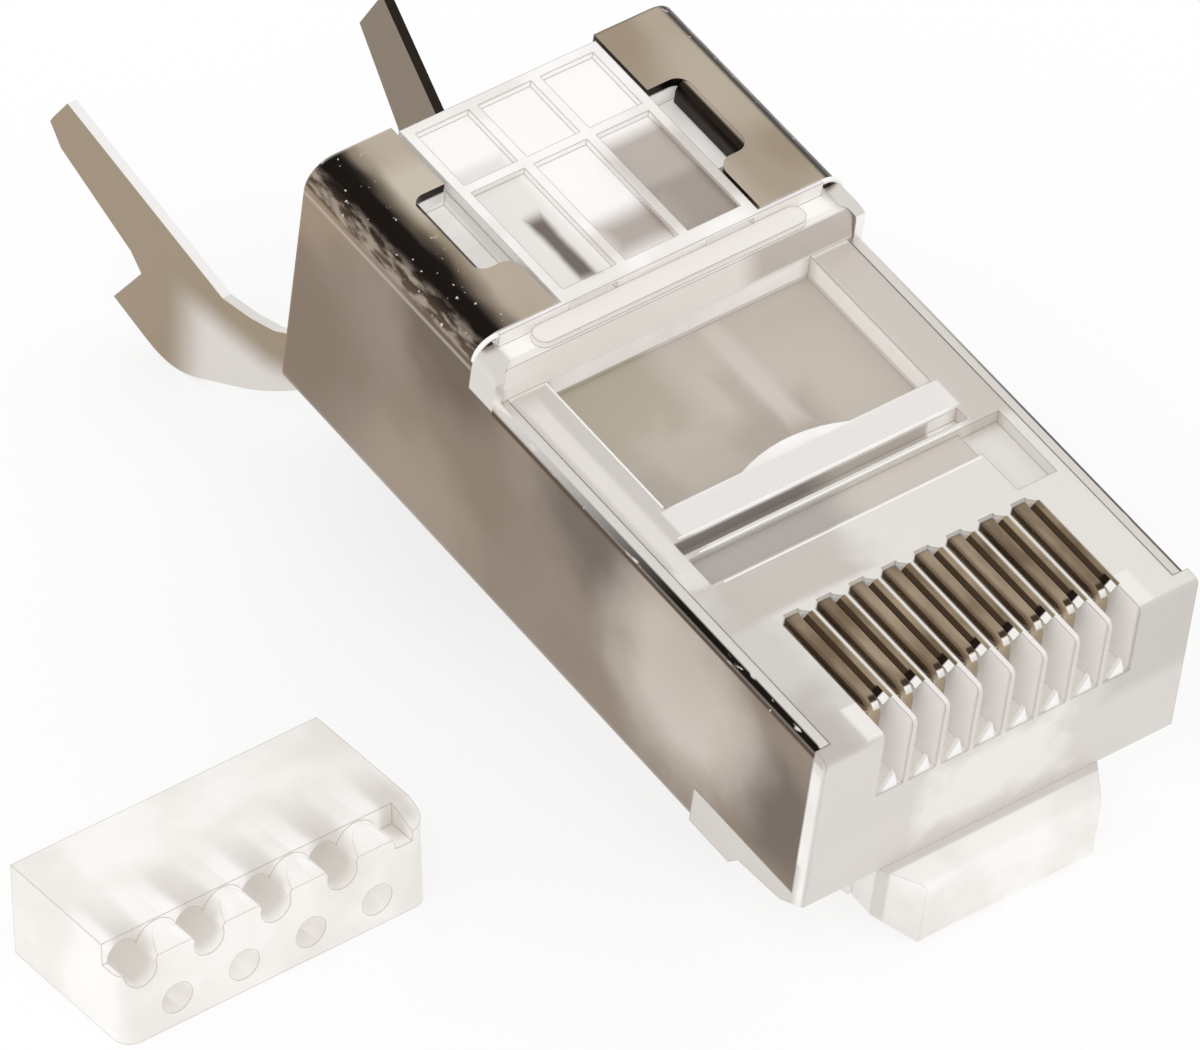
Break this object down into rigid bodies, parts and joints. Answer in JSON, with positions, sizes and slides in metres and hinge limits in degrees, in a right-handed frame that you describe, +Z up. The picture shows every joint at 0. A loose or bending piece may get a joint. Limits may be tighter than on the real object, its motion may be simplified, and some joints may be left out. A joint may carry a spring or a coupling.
{
  "type": "shielded modular plug",
  "caption": "Shielded modular data plug with a clear body, gilt contacts, a spring latch, a folded metal shield with cable wings, and a loose clear load bar.",
  "frame": {"origin": "under the middle of the plug and its load bar, on the surface that they lie on", "axes": "+Z up from that surface, +Y along the plug from its nose to its tail, +X across it to the right; the plug leans nose down on its chin and its latch"},
  "size_m": [0.0266, 0.0348, 0.0132],
  "materials": {
    "clear_plastic": "gloss",
    "nickel_sheet": "satin",
    "contact_metal": "satin"
  },
  "bodies": {
    "plug_body": {"housing": "clear_plastic", "shield": "nickel_sheet", "load_bar": "clear_plastic"},
    "latch": {"latch": "clear_plastic"},
    "contact_1": {"contact_1": "contact_metal"},
    "contact_2": {"contact_2": "contact_metal"},
    "contact_3": {"contact_3": "contact_metal"},
    "contact_4": {"contact_4": "contact_metal"},
    "contact_5": {"contact_5": "contact_metal"},
    "contact_6": {"contact_6": "contact_metal"},
    "contact_7": {"contact_7": "contact_metal"},
    "contact_8": {"contact_8": "contact_metal"}
  },
  "joints": [
    {"name": "latch_flex", "type": "hinge", "parent": "plug_body", "child": "latch", "pos_m": [0.00743, -0.01494, 0.00096], "axis": [1, 0, 0], "range_deg": [0, 10], "stiffness_Nm_per_rad": 0.28},
    {"name": "contact_1_press", "type": "slide", "parent": "plug_body", "child": "contact_1", "axis": [0, 0.193, -0.9812], "range_m": [0, 0.0006]},
    {"name": "contact_2_press", "type": "slide", "parent": "plug_body", "child": "contact_2", "axis": [0, 0.193, -0.9812], "range_m": [0, 0.0006]},
    {"name": "contact_3_press", "type": "slide", "parent": "plug_body", "child": "contact_3", "axis": [0, 0.193, -0.9812], "range_m": [0, 0.0006]},
    {"name": "contact_4_press", "type": "slide", "parent": "plug_body", "child": "contact_4", "axis": [0, 0.193, -0.9812], "range_m": [0, 0.0006]},
    {"name": "contact_5_press", "type": "slide", "parent": "plug_body", "child": "contact_5", "axis": [0, 0.193, -0.9812], "range_m": [0, 0.0006]},
    {"name": "contact_6_press", "type": "slide", "parent": "plug_body", "child": "contact_6", "axis": [0, 0.193, -0.9812], "range_m": [0, 0.0006]},
    {"name": "contact_7_press", "type": "slide", "parent": "plug_body", "child": "contact_7", "axis": [0, 0.193, -0.9812], "range_m": [0, 0.0006]},
    {"name": "contact_8_press", "type": "slide", "parent": "plug_body", "child": "contact_8", "axis": [0, 0.193, -0.9812], "range_m": [0, 0.0006]}
  ],
  "couplings": [
    {"joint": "contact_2_press", "follows": "contact_1_press", "ratio": 1},
    {"joint": "contact_3_press", "follows": "contact_1_press", "ratio": 1},
    {"joint": "contact_4_press", "follows": "contact_1_press", "ratio": 1},
    {"joint": "contact_5_press", "follows": "contact_1_press", "ratio": 1},
    {"joint": "contact_6_press", "follows": "contact_1_press", "ratio": 1},
    {"joint": "contact_7_press", "follows": "contact_1_press", "ratio": 1},
    {"joint": "contact_8_press", "follows": "contact_1_press", "ratio": 1}
  ]
}
